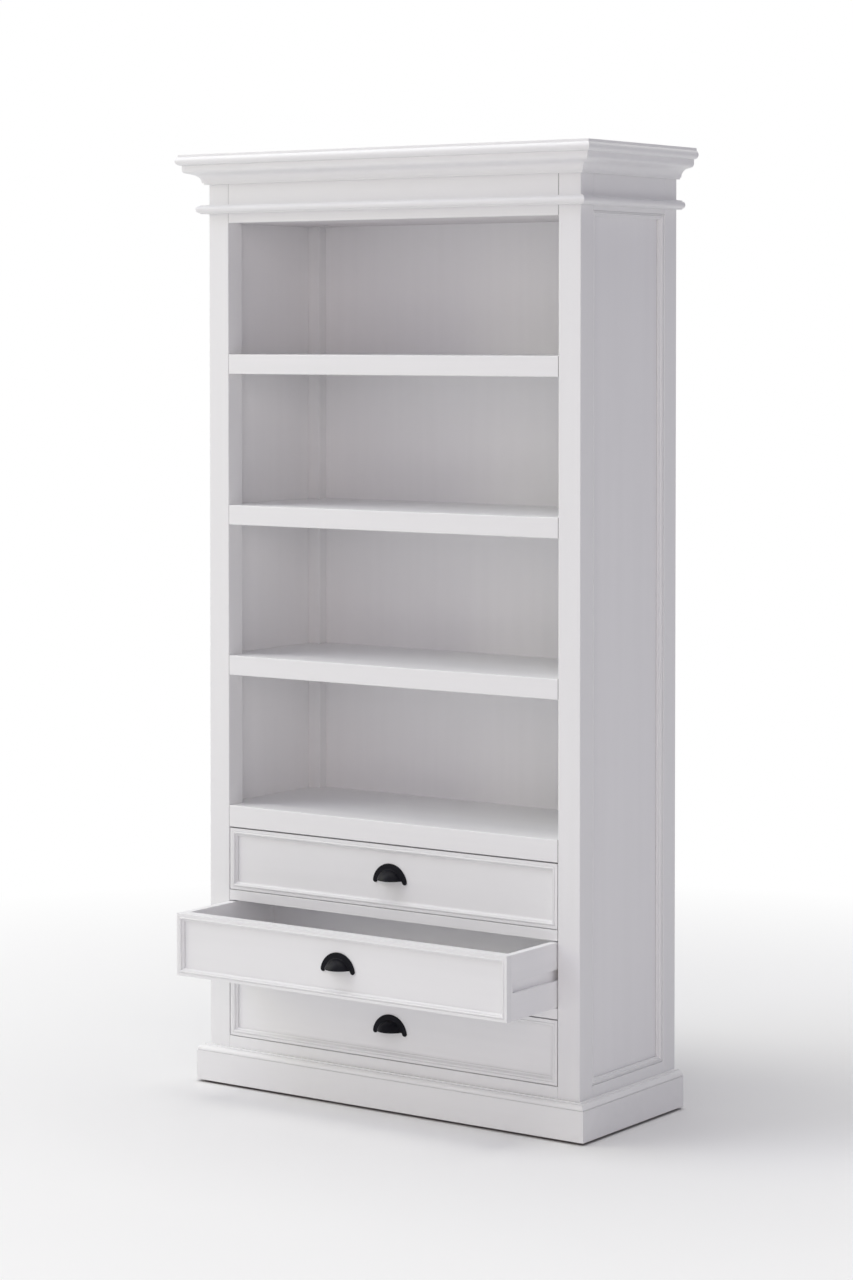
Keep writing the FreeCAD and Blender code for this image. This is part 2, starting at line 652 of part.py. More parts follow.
def cup_pull():
    """Hollow cup on an arched flange with two lobes, one casting with two bosses for its screws."""
    arch = turned(cup_section(), ARCH_START, 180 - 2 * ARCH_START)
    centre = Vector(0, CUP_SETBACK, 0)
    mouth = y_cylinder(CUP_ROOT, 0, 0, -PAST, PAST).common(block((-PAST, PAST), (-PAST, PAST), (-PAST, CUP_LIP)))
    cup = arch.cut(Part.makeSphere(CUP_RADIUS - PULL_WALL, centre)).cut(mouth)
    cup.translate(Vector(0, 0, -ARCH_DROP))

    lobe_section = face_of([(0, 0, 0)] + bevelled_rim(LOBE_RADIUS) + [(0, -PULL_FLANGE_THICKNESS, 0)])
    lobe = turned(lobe_section, ARCH_START, -180)
    lobe.translate(Vector(LOBE_CENTRE, 0, 0))

    boss = y_cylinder(PULL_BOSS_RADIUS, PULL_SCREW_SPACING / 2, PULL_SCREW_RISE, -PULL_BOSS_LENGTH, 0)
    boss = boss.common(Part.makeSphere(CUP_RADIUS - PULL_WALL / 2, centre - Vector(0, 0, ARCH_DROP)))
    hole = y_cylinder(SCREW_RADIUS + SCREW_FIT, PULL_SCREW_SPACING / 2, PULL_SCREW_RISE, -SCREW_GRIP, 0)
    pull = cup.multiFuse([lobe, mirrored(lobe), boss, mirrored(boss)]).cut(hole).cut(mirrored(hole))
    return largest(pull.removeSplitter())


def pull_screws(index):
    """Two pan-head machine screws from inside the drawer, through the front board into the pull's bosses."""
    screws = []
    for x, z in screw_centres(index):
        shank = y_cylinder(SCREW_RADIUS, x, z, DRAWER_FIELD - SCREW_GRIP + SCREW_CLEARANCE, DRAWER_FRONT_BACK)
        head = y_cylinder(SCREW_HEAD_RADIUS, x, z, DRAWER_FRONT_BACK, DRAWER_FRONT_BACK + SCREW_HEAD_HEIGHT)
        screws.append(shank.fuse(head).removeSplitter())
    return Part.makeCompound(screws)


def build_drawers():
    """Three drawers and the runners that carry them."""
    casting = cup_pull()
    runners = []
    for index, (name, opened) in enumerate(DRAWERS_OPEN.items()):
        side = drawer_side(index)
        pull = casting.copy()
        pull.translate(Vector(0, DRAWER_FIELD, pull_base_z(index)))
        pieces = {
            "front": drawer_front(index),
            "moulding": drawer_moulding(index),
            "side_right": side,
            "side_left": mirrored(side),
            "back": drawer_back(index),
            "bottom": drawer_bottom(index),
            "pull": pull,
            "pull_screws": pull_screws(index),
        }
        for piece, shape in pieces.items():
            shape.translate(Vector(0, -opened, 0))
            save(name + "_" + piece, shape)
        runners.append(runner(index))
    save_pair("runners", Part.makeCompound(runners))


os.makedirs("parts", exist_ok=True)
build_carcass()
build_mouldings()
build_drawers()
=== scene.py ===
import json
import math

import bmesh
import bpy
from mathutils import Matrix, Vector

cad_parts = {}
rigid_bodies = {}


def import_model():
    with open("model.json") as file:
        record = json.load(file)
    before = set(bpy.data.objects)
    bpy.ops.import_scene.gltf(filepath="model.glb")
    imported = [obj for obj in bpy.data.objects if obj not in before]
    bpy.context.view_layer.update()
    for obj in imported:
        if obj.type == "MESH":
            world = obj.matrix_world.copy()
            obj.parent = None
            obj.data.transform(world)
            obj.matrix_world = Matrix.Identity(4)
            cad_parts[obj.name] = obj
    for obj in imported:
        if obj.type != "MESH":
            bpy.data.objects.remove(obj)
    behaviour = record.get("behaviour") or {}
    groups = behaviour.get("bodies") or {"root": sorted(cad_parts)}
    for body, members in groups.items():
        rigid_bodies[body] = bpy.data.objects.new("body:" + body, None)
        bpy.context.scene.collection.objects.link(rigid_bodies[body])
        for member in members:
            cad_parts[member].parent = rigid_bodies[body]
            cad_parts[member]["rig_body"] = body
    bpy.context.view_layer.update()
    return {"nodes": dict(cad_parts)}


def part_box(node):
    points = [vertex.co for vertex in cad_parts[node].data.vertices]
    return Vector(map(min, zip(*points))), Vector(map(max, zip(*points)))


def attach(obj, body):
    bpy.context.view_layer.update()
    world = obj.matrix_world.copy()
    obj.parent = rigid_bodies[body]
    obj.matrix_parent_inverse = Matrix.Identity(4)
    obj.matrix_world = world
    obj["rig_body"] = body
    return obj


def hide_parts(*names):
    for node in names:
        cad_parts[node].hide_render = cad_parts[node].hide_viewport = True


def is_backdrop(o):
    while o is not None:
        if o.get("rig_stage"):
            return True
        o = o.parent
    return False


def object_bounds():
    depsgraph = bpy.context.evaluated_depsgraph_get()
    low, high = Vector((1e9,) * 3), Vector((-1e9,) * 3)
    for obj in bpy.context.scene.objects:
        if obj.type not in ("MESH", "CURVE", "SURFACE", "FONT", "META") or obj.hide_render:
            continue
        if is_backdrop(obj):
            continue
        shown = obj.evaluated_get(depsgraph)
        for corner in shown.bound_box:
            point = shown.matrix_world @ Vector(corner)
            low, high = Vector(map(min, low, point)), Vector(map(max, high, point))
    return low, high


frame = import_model()


# ---------------------------------------------------------------- glides
# Four turned buttons of hard black plastic, 24 mm across and 5 mm high. One is nailed under each post, so
# that the case stands clear of the floor and slides without marking it.
GLIDE_RADIUS, GLIDE_HEIGHT, GLIDE_SIDES = 0.012, 0.005, 32
POST_SPACING_ACROSS, POST_SPACING_DEEP = 0.850, 0.305


def node(tree, kind, feeds=None, **options):
    """Adds a node with its options and feeds its inputs, by name or number, from values or other outputs."""
    made = tree.nodes.new(kind)
    for option, value in options.items():
        setattr(made, option, value)
    for key, feed in (feeds or {}).items():
        if isinstance(feed, bpy.types.NodeSocket):
            tree.links.new(feed, made.inputs[key])
        else:
            made.inputs[key].default_value = feed
    return made.outputs


def working_tree(name, **inputs):
    """A geometry tree with a geometry input and output and the named inputs after it."""
    tree = bpy.data.node_groups.new(name, "GeometryNodeTree")
    tree.is_modifier = True
    tree.interface.new_socket("Geometry", in_out="INPUT", socket_type="NodeSocketGeometry")
    for label, kind in inputs.items():
        tree.interface.new_socket(label, in_out="INPUT", socket_type="NodeSocket" + kind)
    tree.interface.new_socket("Geometry", in_out="OUTPUT", socket_type="NodeSocketGeometry")
    return tree, tree.nodes.new("NodeGroupInput").outputs


def delivered(tree, geometry, material):
    """Realises what a tree has made, gives it its material and sends it out."""
    plain = node(tree, "GeometryNodeRealizeInstances", {"Geometry": geometry})
    coated = node(tree, "GeometryNodeSetMaterial", {"Geometry": plain[0], "Material": material})
    tree.links.new(coated[0], tree.nodes.new("NodeGroupOutput").inputs[0])


def put_in_scene(name, mesh):
    """A piece at the origin, with its place in its mesh."""
    piece = bpy.data.objects.new(name, mesh)
    bpy.context.scene.collection.objects.link(piece)
    return piece


def made_by(tree, name, seed, **inputs):
    """Runs a tree on a seed mesh and keeps its result as a plain mesh."""
    piece = put_in_scene(name, seed)
    work = piece.modifiers.new(tree.name, "NODES")
    work.node_group = tree
    for socket in tree.interface.items_tree:
        if socket.in_out == "INPUT" and socket.name in inputs:
            work[socket.identifier] = inputs[socket.name]
    settled = piece.evaluated_get(bpy.context.evaluated_depsgraph_get())
    result = bpy.data.meshes.new_from_object(settled)
    piece.modifiers.remove(work)
    piece.data = result
    return piece


def mesh_of(name, corners, edges=(), faces=()):
    mesh = bpy.data.meshes.new(name)
    mesh.from_pydata([tuple(corner) for corner in corners], list(edges), [tuple(face) for face in faces])
    return mesh


def turned(name, section, sides):
    """Turns a section of (radius, height) pairs about the upright axis; both ends of it lie on the axis."""
    corners = [(0, 0, section[0][1])]
    for radius, height in section[1:-1]:
        for side in range(sides):
            angle = 2 * math.pi * side / sides
            corners.append((radius * math.cos(angle), radius * math.sin(angle), height))
    corners.append((0, 0, section[-1][1]))
    rings = len(section) - 2
    last = len(corners) - 1
    faces = []
    for side in range(sides):
        beside = (side + 1) % sides
        faces.append((0, 1 + beside, 1 + side))
        for ring in range(rings - 1):
            low, high = 1 + ring * sides, 1 + (ring + 1) * sides
            faces.append((low + side, low + beside, high + beside, high + side))
        top = 1 + (rings - 1) * sides
        faces.append((top + side, top + beside, last))
    return mesh_of(name, corners, faces=faces)


def surface(name, build):
    """A material whose Principled shader takes its looks from the nodes that build adds."""
    material = bpy.data.materials.new(name)
    material.use_nodes = True
    tree = material.node_tree
    shader = tree.nodes["Principled BSDF"]
    build(tree, node(tree, "ShaderNodeTexCoord")["Object"], shader)
    return material


def hard_plastic(tree, place, shader):
    grain = node(tree, "ShaderNodeTexNoise", {"Vector": place, "Scale": 900.0, "Detail": 3.0})
    scuffs = node(tree, "ShaderNodeTexNoise", {"Vector": place, "Scale": 140.0, "Detail": 5.0})
    shade = node(tree, "ShaderNodeMix", {"Factor": scuffs[0], 6: (0.012, 0.012, 0.013, 1),
                                         7: (0.045, 0.044, 0.043, 1)}, data_type="RGBA")
    relief = node(tree, "ShaderNodeBump", {"Height": grain[0], "Strength": 0.25, "Distance": 0.0002})
    tree.links.new(shade[2], shader.inputs["Base Color"])
    tree.links.new(relief[0], shader.inputs["Normal"])
    shader.inputs["Roughness"].default_value = 0.55


black_glide_plastic = surface("black_glide_plastic", hard_plastic)

set_out, given = working_tree("set_out_in_rows", Count="Int", Step="Vector", Rows="Int", RowStep="Vector",
                              Finish="Material")
row = node(set_out, "GeometryNodeMeshLine", {"Count": given["Count"], "Offset": given["Step"]})
stack = node(set_out, "GeometryNodeMeshLine", {"Count": given["Rows"], "Offset": given["RowStep"]})
in_row = node(set_out, "GeometryNodeInstanceOnPoints", {"Points": row[0], "Instance": given["Geometry"]})
in_stack = node(set_out, "GeometryNodeInstanceOnPoints", {"Points": stack[0], "Instance": in_row[0]})
delivered(set_out, in_stack[0], given["Finish"])

rounded_foot = [(0.0085, 0), (0.0108, 0.0006), (0.0118, 0.0018), (GLIDE_RADIUS, 0.0030)]
button = turned("glide_button", [(0, 0)] + rounded_foot + [(GLIDE_RADIUS, GLIDE_HEIGHT), (0, GLIDE_HEIGHT)],
                GLIDE_SIDES)
button.transform(Matrix.Translation((-POST_SPACING_ACROSS / 2, -POST_SPACING_DEEP / 2, 0)))
glides = made_by(set_out, "glide_buttons", button, Count=2, Step=(POST_SPACING_ACROSS, 0, 0), Rows=2,
                 RowStep=(0, POST_SPACING_DEEP, 0), Finish=black_glide_plastic)
glides.data.shade_smooth()
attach(glides, "carcass")
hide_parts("glides")


# ---------------------------------------------------------------- posts
# Four softwood posts, 50 by 45 mm, planed square with their long corners eased, then primed and sprayed
# with satin white. Rails are tenoned into them, so every joint shows as a hairline under the paint.
PAINT_WHITE = (0.860, 0.860, 0.868)
# Bare timber darkened to near black, far past bare wood, as painted shade in the gap under the case:
BARE_TIMBER_AND_SHADE = (0.085, 0.050, 0.042, 1)
# A grey painted at the rails' shoulders as the shade in a hairline crack:
CRACK_SHADE_GREY = (0.42, 0.41, 0.42, 1)
CASE_UNDERSIDE = 0.0053
CASE_FRONT = -0.1735
# Where that painted shade line at a shoulder begins, is at full strength and ends:
CRACK_SHADE_START, CRACK_SHADE_FULL, CRACK_SHADE_END = 0.0013, 0.0008, 0.0003
EASED_EDGE = 0.0007
WELD_DISTANCE = 0.000002
FLAT_WITHIN, SHARP_ABOVE = math.radians(0.5), math.radians(38)


def satin_paint(name, run, white=PAINT_WHITE, gloss=0.42, shoulder=None, bare_and_shaded_below=CASE_UNDERSIDE):
    """White satin paint: strokes laid off along the run of the piece, fine orange peel, a slow drift of tone.

    A piece let in between the posts has a shoulder at each end, that far from the middle. On the front of the
    case a grey line is painted there as the shade in a hairline crack, from 1.3 mm inside the shoulder to 0.3
    mm past.
    Below a given height the underside is bare timber coloured near black, as painted shade under the case.
    """
    def coat(tree, place, shader):
        drawn_out = {"across": (0.04, 1, 1), "deep": (1, 0.04, 1), "upright": (1, 1, 0.04)}[run]
        along = node(tree, "ShaderNodeMapping", {"Vector": place, "Scale": drawn_out})
        strokes = node(tree, "ShaderNodeTexNoise", {"Vector": along[0], "Scale": 520.0, "Detail": 3.0,
                                                    "Roughness": 0.6})
        peel = node(tree, "ShaderNodeTexNoise", {"Vector": place, "Scale": 430.0, "Detail": 2.0})
        drift = node(tree, "ShaderNodeTexNoise", {"Vector": along[0], "Scale": 45.0, "Detail": 5.0})
        tone = node(tree, "ShaderNodeMix", {"Factor": drift[0],
                                            6: tuple(0.975 * part for part in white) + (1,),
                                            7: tuple(1.025 * part for part in white) + (1,)},
                    data_type="RGBA")
        sheen = node(tree, "ShaderNodeMapRange", {"Value": strokes[0], "From Min": 0.3, "From Max": 0.7,
                                                  "To Min": gloss - 0.05, "To Max": gloss + 0.06})
        height = node(tree, "ShaderNodeMath", {0: strokes[0], 1: peel[0]}, operation="ADD")
        relief = node(tree, "ShaderNodeBump", {"Height": height[0], "Strength": 0.16, "Distance": 0.0002})
        spot = node(tree, "ShaderNodeSeparateXYZ", {0: place})
        # Below that height the colour is the near-black bare timber: partly the bare underside, partly
        # painted shade.
        under = node(tree, "ShaderNodeMath", {0: spot["Z"], 1: bare_and_shaded_below}, operation="LESS_THAN")
        skin = node(tree, "ShaderNodeMix", {"Factor": under[0], 6: tone[2], 7: BARE_TIMBER_AND_SHADE},
                    data_type="RGBA")[2]
        # A grey line painted at the shoulders on the front faces, as the shade in a hairline crack:
        if shoulder:
            out = node(tree, "ShaderNodeMath", {0: spot["X"]}, operation="ABSOLUTE")
            crack_shade = node(tree, "ShaderNodeMapRange", {"Value": out[0], "From Min": shoulder - CRACK_SHADE_START,
                                                      "From Max": shoulder - CRACK_SHADE_FULL})
            ended = node(tree, "ShaderNodeMath", {0: out[0], 1: shoulder + CRACK_SHADE_END}, operation="LESS_THAN")
            in_front = node(tree, "ShaderNodeMath", {0: spot["Y"], 1: CASE_FRONT}, operation="LESS_THAN")
            crack_shade = node(tree, "ShaderNodeMath", {0: crack_shade[0], 1: ended[0]}, operation="MULTIPLY")
            crack_shade = node(tree, "ShaderNodeMath", {0: crack_shade[0], 1: in_front[0]}, operation="MULTIPLY")
            skin = node(tree, "ShaderNodeMix", {"Factor": crack_shade[0], 6: skin, 7: CRACK_SHADE_GREY},
                        data_type="RGBA")[2]
        tree.links.new(skin, shader.inputs["Base Color"])
        tree.links.new(sheen[0], shader.inputs["Roughness"])
        tree.links.new(relief[0], shader.inputs["Normal"])
    return surface(name, coat)


def softened(piece, ease, steps=2):
    """Makes the flats of a piece whole and rounds its sharp edges as sanding and paint leave them."""
    shape = bmesh.new()
    shape.from_mesh(piece.data)
    bmesh.ops.remove_doubles(shape, verts=shape.verts, dist=WELD_DISTANCE)
    bmesh.ops.holes_fill(shape, edges=[edge for edge in shape.edges if edge.is_boundary])
    bmesh.ops.recalc_face_normals(shape, faces=shape.faces)
    bmesh.ops.dissolve_limit(shape, angle_limit=FLAT_WITHIN, verts=shape.verts, edges=shape.edges)
    shape.to_mesh(piece.data)
    shape.free()
    piece.data.shade_smooth()
    rounding = piece.modifiers.new("eased_edges", "BEVEL")
    rounding.width = ease
    rounding.segments = steps
    rounding.limit_method = "ANGLE"
    rounding.angle_limit = SHARP_ABOVE
    rounding.harden_normals = True
    rounding.miter_outer = "MITER_ARC"
    settled = piece.evaluated_get(bpy.context.evaluated_depsgraph_get())
    result = bpy.data.meshes.new_from_object(settled)
    piece.modifiers.remove(rounding)
    piece.data = result
    return piece


def joinery(solid, material, ease=EASED_EDGE):
    """The finished piece of wood for a solid of the frame, on the same body."""
    source = frame["nodes"][solid]
    mesh = mesh_of(solid + "_planed", [corner.co for corner in source.data.vertices],
                   faces=[face.vertices for face in source.data.polygons])
    mesh.materials.append(material)
    piece = softened(put_in_scene(solid + "_planed", mesh), ease)
    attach(piece, source["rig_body"])
    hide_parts(solid)
    return piece


upright_paint = satin_paint("satin_paint_upright", "upright")
for post in ("front_post_left", "front_post_right", "rear_post_left", "rear_post_right"):
    joinery(post, upright_paint)


# ---------------------------------------------------------------- side frames and panels
# Each side is a top and a bottom rail tenoned between two posts, with a 9 mm MDF panel held in grooves.
# The panels are sprayed flat on a bench, so their coat is smoother and a little duller than the frame's.
deep_paint = satin_paint("satin_paint_deep", "deep")
PANEL_WHITE = (0.895, 0.893, 0.903)
panel_paint = satin_paint("panel_paint_upright", "upright", PANEL_WHITE, 0.50)
for side in ("left", "right"):
    joinery("side_top_rail_" + side, deep_paint)
    joinery("side_bottom_rail_" + side, deep_paint)
    joinery("side_panel_" + side, panel_paint)


# ---------------------------------------------------------------- back and bottom
# The back is one 8 mm panel slid into grooves in the rear posts and rails. The bottom is a 9 mm board held in
# grooves in the four low rails; its upper face is painted and its lower half is bare timber coloured as
# painted shade.
across_paint = satin_paint("satin_paint_across", "across")
joinery("rear_top_rail", across_paint)
joinery("rear_bottom_rail", across_paint)
joinery("back_panel", panel_paint)
bottom_low, bottom_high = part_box("bottom_panel")
bottom_paint = satin_paint("bottom_panel_paint", "across", PANEL_WHITE, 0.52,
                           bare_and_shaded_below=(bottom_low.z + bottom_high.z) / 2)
joinery("bottom_panel", bottom_paint)


# ---------------------------------------------------------------- front rails
# Frieze rail, two drawer rails and bottom rail, all tenoned into the posts with their faces flush.
# The ceiling panel behind the frieze, seen by nobody standing, is a darker grey white: painted shade for the
# top bay.
RAIL_SHOULDER = 0.400
# The rails, deck and shelves carry a grey line painted at each shoulder on the front, as the shade in a
# hairline crack.
rail_paint_shade_lined = satin_paint("satin_paint_rails_shade_lined", "across", shoulder=RAIL_SHOULDER)
joinery("bottom_rail", across_paint)
for rail in ("lower_drawer_rail", "upper_drawer_rail", "frieze_rail"):
    joinery(rail, rail_paint_shade_lined)
CEILING_SHADE_WHITE = (0.740, 0.720, 0.735)
joinery("ceiling_panel", satin_paint("ceiling_shade_paint_across", "across", CEILING_SHADE_WHITE, 0.52))


# ---------------------------------------------------------------- deck and shelves
# A 44 mm deck over the drawers and three 40 mm shelves, softwood boards notched round the four posts so that
# their ends meet the side panels. The front edge is eased and stands flush with the posts.
joinery("drawer_deck", rail_paint_shade_lined)
for shelf in ("lower_shelf", "middle_shelf", "upper_shelf"):
    joinery(shelf, rail_paint_shade_lined)


# ---------------------------------------------------------------- bead mouldings in the side frames
# A flat, a round bead and a cove run on one strip of softwood. Four lengths are mitred at the corners of each
# side frame's opening and pinned over the panel's edge, which leaves a dark line on either side.
SIDE_OPENING_DEEP, SIDE_OPENING_TALL = 0.260, 1.670
SIDE_PANEL_FACE, SIDE_OPENING_FRONT, SIDE_OPENING_FOOT = 0.438, -0.130, 0.100
MITRE_WELD = 0.00001
BEAD_EDGE = 0.00025


def bow(centre_in, centre_up, radius, first, last, steps=8):
    """Points on a round part of a moulding, in millimetres, from one angle to another."""
    turns = [math.radians(first + (last - first) * step / steps) for step in range(steps + 1)]
    return [(centre_in + radius * math.cos(turn), centre_up + radius * math.sin(turn)) for turn in turns]


def outline(name, points, outwards=1):
    """A moulding's section as a closed line across its run; points are (reach, height) in millimetres."""
    corners = [(0, outwards * reach / 1000, height / 1000) for reach, height in points]
    return mesh_of(name, corners, edges=[(n, (n + 1) % len(corners)) for n in range(len(corners))])


bead_round, given = working_tree("bead_round_a_panel", Width="Float", Height="Float", Turn="Vector",
                                 Place="Vector", Finish="Material")


def mitred_strip(length):
    """One strip of the section along X whose ends both lean in by the mitre."""
    run = node(bead_round, "ShaderNodeCombineXYZ", {"X": length})
    strip = node(bead_round, "GeometryNodeExtrudeMesh", {"Mesh": given["Geometry"], "Offset": run[0],
                                                         "Offset Scale": 1.0}, mode="EDGES")
    here = node(bead_round, "ShaderNodeSeparateXYZ", {0: node(bead_round, "GeometryNodeInputPosition")[0]})
    share = node(bead_round, "ShaderNodeMath", {0: here["X"], 1: length}, operation="DIVIDE")
    lean = node(bead_round, "ShaderNodeMath", {0: share[0], 1: -2.0, 2: 1.0}, operation="MULTIPLY_ADD")
    shift = node(bead_round, "ShaderNodeMath", {0: lean[0], 1: here["Y"]}, operation="MULTIPLY")
    move = node(bead_round, "ShaderNodeCombineXYZ", {"X": shift[0]})
    return node(bead_round, "GeometryNodeSetPosition", {"Geometry": strip[0], "Offset": move[0]})[0]


level_strip, upright_strip = mitred_strip(given["Width"]), mitred_strip(given["Height"])
ring = bead_round.nodes.new("GeometryNodeJoinGeometry")
for strip, quarter, corner in ((level_strip, 0, {}), (upright_strip, 1, {"X": given["Width"]}),
                               (level_strip, 2, {"X": given["Width"], "Y": given["Height"]}),
                               (upright_strip, 3, {"Y": given["Height"]})):
    spot = node(bead_round, "ShaderNodeCombineXYZ", corner)
    laid = node(bead_round, "GeometryNodeTransform",
                {"Geometry": strip, "Translation": spot[0], "Rotation": (0, 0, quarter * math.pi / 2)})
    bead_round.links.new(laid[0], ring.inputs[0])
welded = node(bead_round, "GeometryNodeMergeByDistance",
              {"Geometry": ring.outputs[0], "Distance": MITRE_WELD})
fitted = node(bead_round, "GeometryNodeTransform",
              {"Geometry": welded[0], "Translation": given["Place"], "Rotation": given["Turn"]})
delivered(bead_round, fitted[0], given["Finish"])

side_bead_section = ([(0, 0), (0, 8.2), (0.6, 8.2), (0.6, 10.2), (3, 10.2)] + bow(5, 9, 2, 180, 0, 10)
                     + [(7.8, 9)] + bow(10.8, 9.8, 3, 180, 270, 6) + [(10.8, 0.6), (8.8, 0.6), (8.8, 0)])
moulding_paint = satin_paint("moulding_paint", "upright", gloss=0.38)
for side, turn, start in (("right", 1, SIDE_OPENING_FRONT), ("left", -1, -SIDE_OPENING_FRONT)):
    beading = made_by(bead_round, "side_beading_" + side, outline("side_bead_section", side_bead_section),
                      Width=SIDE_OPENING_DEEP, Height=SIDE_OPENING_TALL,
                      Turn=(math.pi / 2, 0, turn * math.pi / 2),
                      Place=(turn * SIDE_PANEL_FACE, start, SIDE_OPENING_FOOT), Finish=moulding_paint)
    softened(beading, BEAD_EDGE, 1)
    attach(beading, "carcass")
    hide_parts("side_moulding_" + side)


# ---------------------------------------------------------------- plinth, neck moulding and cornice
# Lengths of moulded softwood mitred round the front corners and glued over the carcass: a plinth board with
# an ovolo on its top edge, a half-round neck between two fillets, and a coved cornice under the top board.
CASE_WIDTH, CASE_DEPTH = 0.900, 0.350
MOULDING_EDGE = 0.0002

round_case, given = working_tree("moulding_round_the_case", Width="Float", Depth="Float", Finish="Material")
half_width = node(round_case, "ShaderNodeMath", {0: given["Width"], 1: 0.5}, operation="MULTIPLY")[0]
to_side = node(round_case, "ShaderNodeCombineXYZ", {"X": half_width})[0]
spot = node(round_case, "GeometryNodeInputPosition")[0]
at = node(round_case, "ShaderNodeSeparateXYZ", {0: spot})

back_to_middle = node(round_case, "ShaderNodeVectorMath", {0: to_side, "Scale": -1.0}, operation="SCALE")
across = node(round_case, "ShaderNodeVectorMath", {0: to_side, "Scale": 2.0}, operation="SCALE")
at_left_end = node(round_case, "GeometryNodeTransform", {"Geometry": given["Geometry"],
                                                         "Translation": back_to_middle[0]})
front_length = node(round_case, "GeometryNodeExtrudeMesh", {"Mesh": at_left_end[0], "Offset": across[0],
                                                            "Offset Scale": 1.0}, mode="EDGES")
share = node(round_case, "ShaderNodeMath", {0: at["X"], 1: half_width}, operation="DIVIDE")
spread = node(round_case, "ShaderNodeMath", {0: share[0], 1: at["Y"]}, operation="MULTIPLY")
outward = node(round_case, "ShaderNodeMath", {0: spread[0], 1: -1.0}, operation="MULTIPLY")
front_length = node(round_case, "GeometryNodeSetPosition",
                    {"Geometry": front_length[0],
                     "Offset": node(round_case, "ShaderNodeCombineXYZ", {"X": outward[0]})[0]})

turned_section = node(round_case, "GeometryNodeTransform",
                      {"Geometry": given["Geometry"], "Translation": to_side,
                       "Rotation": (0, 0, math.pi / 2)})
rearward = node(round_case, "ShaderNodeCombineXYZ", {"Y": given["Depth"]})
side_length = node(round_case, "GeometryNodeExtrudeMesh", {"Mesh": turned_section[0], "Offset": rearward[0],
                                                           "Offset Scale": 1.0}, mode="EDGES")
reach = node(round_case, "ShaderNodeMath", {0: at["X"], 1: half_width}, operation="SUBTRACT")
fall = node(round_case, "ShaderNodeMath", {0: at["Y"], 1: given["Depth"]}, operation="DIVIDE")
fall = node(round_case, "ShaderNodeMath", {0: fall[0], 1: 1.0}, operation="SUBTRACT")
forward = node(round_case, "ShaderNodeMath", {0: reach[0], 1: fall[0]}, operation="MULTIPLY")
side_length = node(round_case, "GeometryNodeSetPosition",
                   {"Geometry": side_length[0],
                    "Offset": node(round_case, "ShaderNodeCombineXYZ", {"Y": forward[0]})[0]})
other_side = node(round_case, "GeometryNodeTransform", {"Geometry": side_length[0], "Scale": (-1, 1, 1)})
lengths = round_case.nodes.new("GeometryNodeJoinGeometry")
for length in (front_length, side_length, other_side):
    round_case.links.new(length[0], lengths.inputs[0])
mitred = node(round_case, "GeometryNodeMergeByDistance",
              {"Geometry": lengths.outputs[0], "Distance": MITRE_WELD})
to_front = node(round_case, "ShaderNodeMath", {0: given["Depth"], 1: -0.5}, operation="MULTIPLY")
seated = node(round_case, "GeometryNodeTransform",
              {"Geometry": mitred[0],
               "Translation": node(round_case, "ShaderNodeCombineXYZ", {"Y": to_front[0]})[0]})
delivered(round_case, seated[0], given["Finish"])

plinth_section = ([(0, 5), (20, 5), (20, 65.4), (17, 65.4), (17, 66)] + bow(9, 66, 10, 0, 90, 10)
                  + [(9, 78), (1, 78), (0, 77)])
neck_section = ([(0, 1781), (1, 1780), (13, 1780)] + bow(13, 1789, 7, -90, 90, 14)
                + [(13, 1798), (1, 1798), (0, 1797)])
CORNICE_COVE_CENTRE, CORNICE_COVE_RADIUS = 27.66, 17.16
cornice_section = ([(0, 1840.5), (1, 1839.5), (7.5, 1839.5), (7.5, 1843)]
                   + bow(CORNICE_COVE_CENTRE, 1843, CORNICE_COVE_RADIUS, 180, 104, 12)
                   + bow(32, 1869.5, 7.5, -76, 0, 8) + [(39.5, 1878), (0, 1878)])
for name, section, solids in (
        ("plinth_moulding", plinth_section, ("plinth_front", "plinth_left", "plinth_right")),
        ("neck_bead", neck_section, ("neck_moulding",)),
        ("cornice_moulding", cornice_section, ("cornice_front", "cornice_left", "cornice_right"))):
    moulding = made_by(round_case, name, outline(name + "_section", section, -1), Width=CASE_WIDTH,
                       Depth=CASE_DEPTH, Finish=across_paint)
    softened(moulding, MOULDING_EDGE)
    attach(moulding, "carcass")
    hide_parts(*solids)


# ---------------------------------------------------------------- top board
# One 22 mm board with a round nosing worked on its front and ends. It lies on the posts, the top rails and
# the cornice, and is screwed down from below.
NOSING_EDGE = 0.0004
joinery("top_board", across_paint, NOSING_EDGE)


# ---------------------------------------------------------------- runners
# Six beech strips, planed and waxed, screwed to the inner faces of the posts, three to a side. The groove in
# each drawer side rides on one of them.
def waxed_beech(tree, place, shader):
    lengthwise = node(tree, "ShaderNodeMapping", {"Vector": place, "Scale": (1, 0.06, 1)})
    fibre = node(tree, "ShaderNodeTexNoise", {"Vector": lengthwise[0], "Scale": 420.0, "Detail": 6.0})
    growth = node(tree, "ShaderNodeTexWave", {"Vector": lengthwise[0], "Scale": 60.0, "Distortion": 7.0,
                                              "Detail": 2.0}, bands_direction="X")
    mixed = node(tree, "ShaderNodeMath", {0: fibre[0], 1: growth["Fac"]}, operation="MULTIPLY")
    colour = node(tree, "ShaderNodeMix", {"Factor": mixed[0], 6: (0.60, 0.42, 0.26, 1),
                                          7: (0.42, 0.26, 0.14, 1)}, data_type="RGBA")
    relief = node(tree, "ShaderNodeBump", {"Height": fibre[0], "Strength": 0.3, "Distance": 0.0002})
    tree.links.new(colour[2], shader.inputs["Base Color"])
    tree.links.new(relief[0], shader.inputs["Normal"])
    shader.inputs["Roughness"].default_value = 0.48


RUNNER_EDGE = 0.001
beech = surface("waxed_beech", waxed_beech)
for side in ("left", "right"):
    joinery("runners_" + side, beech, RUNNER_EDGE)


